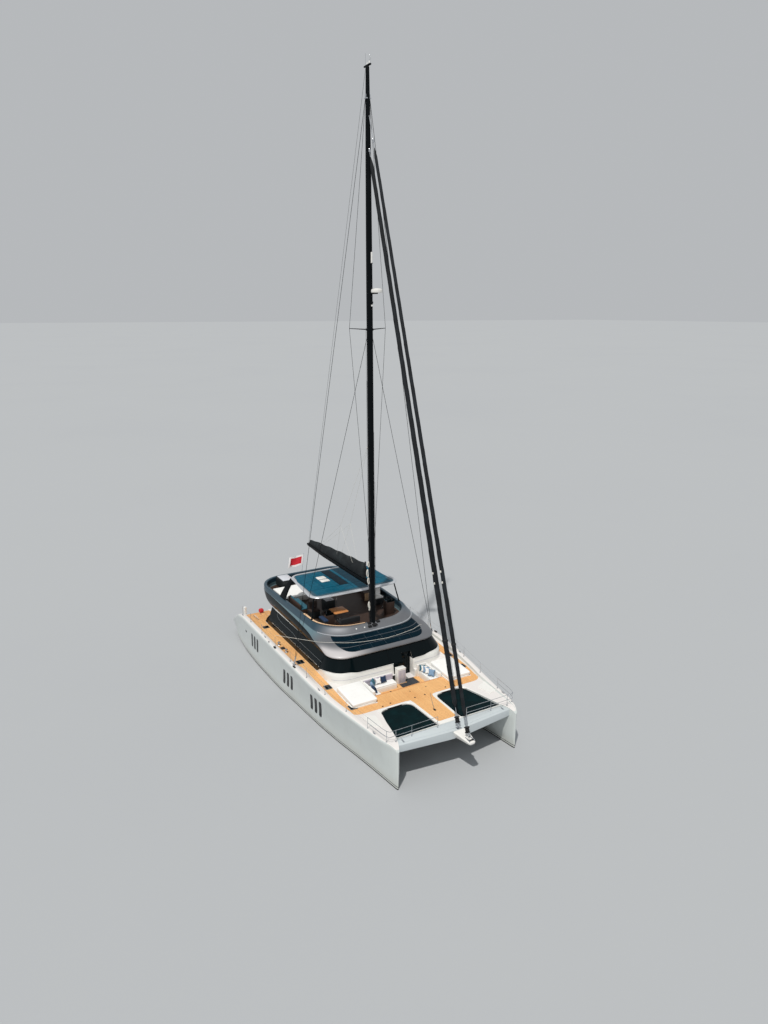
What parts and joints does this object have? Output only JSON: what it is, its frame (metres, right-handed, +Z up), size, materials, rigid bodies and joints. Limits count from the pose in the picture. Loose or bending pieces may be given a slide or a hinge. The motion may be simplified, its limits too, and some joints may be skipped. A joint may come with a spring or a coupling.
{
  "type": "sailing catamaran yacht",
  "caption": "Flybridge sailing catamaran afloat: hulls with keels and rudders, glazed saloon, hardtop, trampolines, mast, boom and furled headsails.",
  "frame": {"origin": "amidships on the centreline, at the waterline", "axes": "+X to the bows, +Y to port, +Z up"},
  "size_m": [24.41, 10.72, 38.28],
  "materials": {
    "gelcoat": "white gelcoat, glossy",
    "antifouling": "black antifouling paint, matt",
    "silver": "metallic silver-grey paint",
    "teak": "teak, bare",
    "glass": "dark tinted safety glass",
    "carbon": "black lacquered carbon fibre",
    "steel": "polished stainless steel",
    "bronze": "propeller bronze",
    "net": "dark woven trampoline mesh",
    "canvas": "dark acrylic sailcloth and canvas",
    "cushion": "white outdoor upholstery",
    "engine": "grey enamel",
    "ensign": "red and white flag cloth"
  },
  "bodies": {
    "root": {"hull_port": "gelcoat", "hull_starboard": "gelcoat", "keel_port": "antifouling", "keel_starboard": "antifouling", "shaft_port": "steel", "shaft_starboard": "steel", "engine_port": "engine", "engine_starboard": "engine", "bridgedeck": "gelcoat", "front_crossbeam": "gelcoat", "walkway": "gelcoat", "bowsprit": "gelcoat", "trampoline_port": "net", "trampoline_starboard": "net", "cabin_walls": "gelcoat", "side_glass_port": "glass", "side_glass_starboard": "glass", "windscreen_port": "glass", "windscreen_starboard": "glass", "aft_bulkhead": "glass", "front_lounge": "gelcoat", "front_sunpad_port": "cushion", "front_sunpad_starboard": "cushion", "roof": "silver", "hardtop": "silver", "helm_console_port": "carbon", "helm_console_starboard": "carbon", "helm_seat_port": "cushion", "helm_seat_starboard": "cushion", "fly_seat_port": "cushion", "fly_seat_starboard": "cushion", "fly_seat_front": "cushion", "fly_table": "teak", "fly_bar": "gelcoat", "fly_sunpad_port": "cushion", "fly_sunpad_starboard": "cushion", "cockpit_seat": "cushion", "cockpit_table": "teak", "mast": "carbon", "headsail_inner": "canvas", "headsail_outer": "canvas", "shrouds_port": "steel", "shrouds_starboard": "steel", "guard_rail_port": "steel", "guard_rail_starboard": "steel", "radome": "gelcoat", "ensign": "ensign"},
    "rudder_port": {"rudder_port": "antifouling"},
    "rudder_starboard": {"rudder_starboard": "antifouling"},
    "propeller_port": {"propeller_port": "bronze"},
    "propeller_starboard": {"propeller_starboard": "bronze"},
    "engine_hatch_port": {"engine_hatch_port": "gelcoat"},
    "engine_hatch_starboard": {"engine_hatch_starboard": "gelcoat"},
    "front_door": {"front_door": "glass"},
    "aft_door": {"aft_door": "glass"},
    "helm_wheel_port": {"helm_wheel_port": "steel"},
    "helm_wheel_starboard": {"helm_wheel_starboard": "steel"},
    "boom": {"boom": "carbon", "sail_bag": "canvas"}
  },
  "joints": [
    {"name": "rudder_port_turn", "type": "hinge", "parent": "root", "child": "rudder_port", "pos_m": [-10, 3.85, 0.3], "axis": [0, 0, 1], "range_deg": [-35, 35]},
    {"name": "rudder_starboard_turn", "type": "hinge", "parent": "root", "child": "rudder_starboard", "pos_m": [-10, -3.85, 0.3], "axis": [0, 0, 1], "range_deg": [-35, 35]},
    {"name": "propeller_port_spin", "type": "hinge", "parent": "root", "child": "propeller_port", "pos_m": [-9.06, 3.85, -0.83], "axis": [0.9742, 0, 0.2255], "continuous": true},
    {"name": "propeller_starboard_spin", "type": "hinge", "parent": "root", "child": "propeller_starboard", "pos_m": [-9.06, -3.85, -0.83], "axis": [0.9742, 0, 0.2255], "continuous": true},
    {"name": "engine_hatch_port_lid", "type": "hinge", "parent": "root", "child": "engine_hatch_port", "pos_m": [-6.8, 3.85, 2.625], "axis": [0, 1, 0], "range_deg": [0, 70]},
    {"name": "engine_hatch_starboard_lid", "type": "hinge", "parent": "root", "child": "engine_hatch_starboard", "pos_m": [-6.8, -3.85, 2.625], "axis": [0, 1, 0], "range_deg": [0, 70]},
    {"name": "front_door_swing", "type": "hinge", "parent": "root", "child": "front_door", "pos_m": [4.15, 1.495, 2.7], "axis": [0, 0, 1], "range_deg": [0, 90]},
    {"name": "aft_door_slide", "type": "slide", "parent": "root", "child": "aft_door", "axis": [0, 1, 0], "range_m": [0, 1.32]},
    {"name": "helm_wheel_port_turn", "type": "hinge", "parent": "root", "child": "helm_wheel_port", "pos_m": [-0.015, 2.25, 5.0103], "axis": [1, 0, 0], "range_deg": [-270, 270]},
    {"name": "helm_wheel_starboard_turn", "type": "hinge", "parent": "root", "child": "helm_wheel_starboard", "pos_m": [-0.015, -2.25, 5.0103], "axis": [1, 0, 0], "range_deg": [-270, 270]},
    {"name": "boom_swing", "type": "hinge", "parent": "root", "child": "boom", "pos_m": [1.6, 0, 7.35], "axis": [0, 0, 1], "range_deg": [-75, 75]}
  ],
  "couplings": [
    {"joint": "rudder_starboard_turn", "follows": "rudder_port_turn", "ratio": 1},
    {"joint": "helm_wheel_port_turn", "follows": "rudder_port_turn", "ratio": 7.7143},
    {"joint": "helm_wheel_starboard_turn", "follows": "rudder_port_turn", "ratio": 7.7143}
  ]
}
